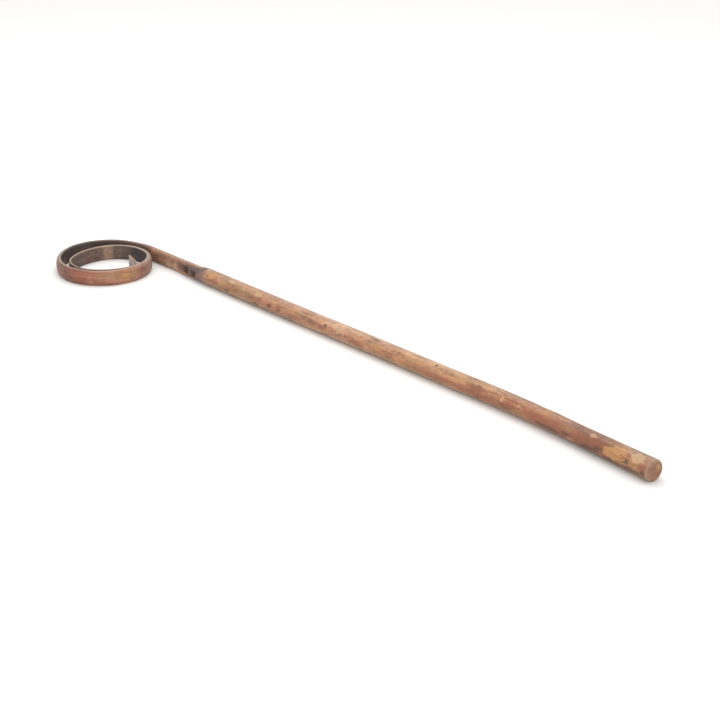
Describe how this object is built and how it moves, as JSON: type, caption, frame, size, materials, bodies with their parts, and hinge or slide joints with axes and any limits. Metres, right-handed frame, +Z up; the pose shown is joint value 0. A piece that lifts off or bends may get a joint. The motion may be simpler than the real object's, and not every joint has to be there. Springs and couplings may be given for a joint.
{
  "type": "boat hook",
  "caption": "Wooden boat hook: a long round hand pole with a bentwood strip coiled into a flat closed eye, lapped and riveted to its head.",
  "frame": {"origin": "centre of the bounding box on the surface that the hook lies on", "axes": "+X along the pole towards the butt; +Z up, across the flat coil; +Y away from the side that the coil hangs to"},
  "size_m": [1.4315, 0.214, 0.0361],
  "materials": {
    "pole_wood": "old hand-worn bare hardwood pole, warm brown with pale patches",
    "crook_wood": "old bentwood, terracotta brown outside and grimy dark brown inside",
    "iron": "dark rusted hand-forged iron",
    "peg_wood": "dark riven hardwood pegs"
  },
  "bodies": {
    "root": {"pole": "pole_wood", "crook": "crook_wood", "rivet_front": "iron", "rivet_rear": "iron", "rove_front": "iron", "rove_rear": "iron", "peg_front": "peg_wood", "peg_side": "peg_wood"}
  },
  "joints": []
}
